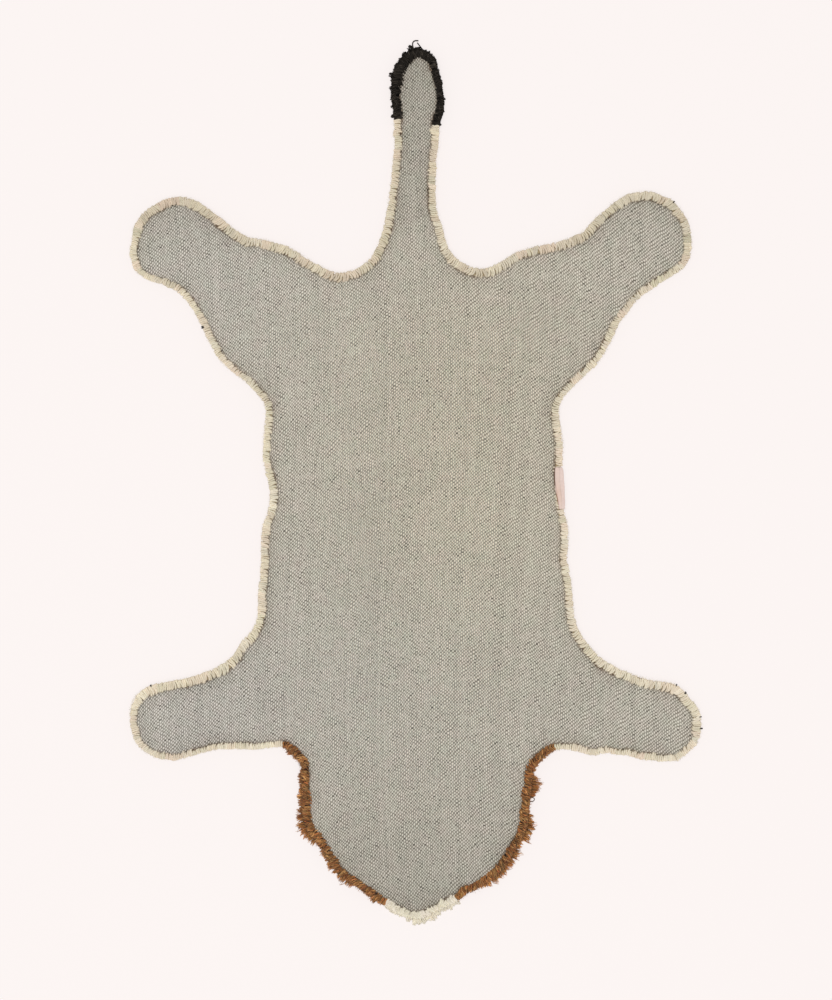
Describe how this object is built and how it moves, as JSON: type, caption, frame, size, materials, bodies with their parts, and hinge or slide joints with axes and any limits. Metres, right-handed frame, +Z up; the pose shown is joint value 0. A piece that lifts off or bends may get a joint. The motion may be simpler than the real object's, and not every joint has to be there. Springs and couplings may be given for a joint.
{
  "type": "animal shaped kids rug",
  "caption": "Animal-shaped kids rug lying pile side down, with a woven canvas back, an overcast yarn binding, a shag mane and a shag tail tip.",
  "frame": {"origin": "middle of the rug's box, on the floor that its pile lies on", "axes": "+Y towards the tail's tip, -Y towards the chin, +X towards the flank with the label, +Z up out of the canvas back"},
  "size_m": [0.6009, 0.9308, 0.0137],
  "materials": {
    "canvas_back": "plain-weave canvas of grey and ivory threads, matt",
    "cream_pile": "cut wool pile, matt",
    "brown_shag": "brown wool shag, matt",
    "off_white_shag": "off-white wool shag, matt",
    "black_shag": "black wool shag, matt",
    "cream_binding": "overcast cream wool yarn",
    "brown_binding": "overcast brown wool yarn",
    "off_white_binding": "overcast off-white wool yarn",
    "black_binding": "overcast black wool yarn",
    "woven_label": "pink woven tape, bare"
  },
  "bodies": {
    "root": {"backing_cloth": "canvas_back", "pile_body": "cream_pile", "pile_mane_left": "brown_shag", "pile_mane_right": "brown_shag", "pile_chin": "off_white_shag", "pile_tail_tip": "black_shag", "binding_tail_tip": "black_binding", "binding_cream_left": "cream_binding", "binding_mane_left": "brown_binding", "binding_chin": "off_white_binding", "binding_mane_right": "brown_binding", "binding_cream_right": "cream_binding", "side_label": "woven_label"}
  },
  "joints": []
}
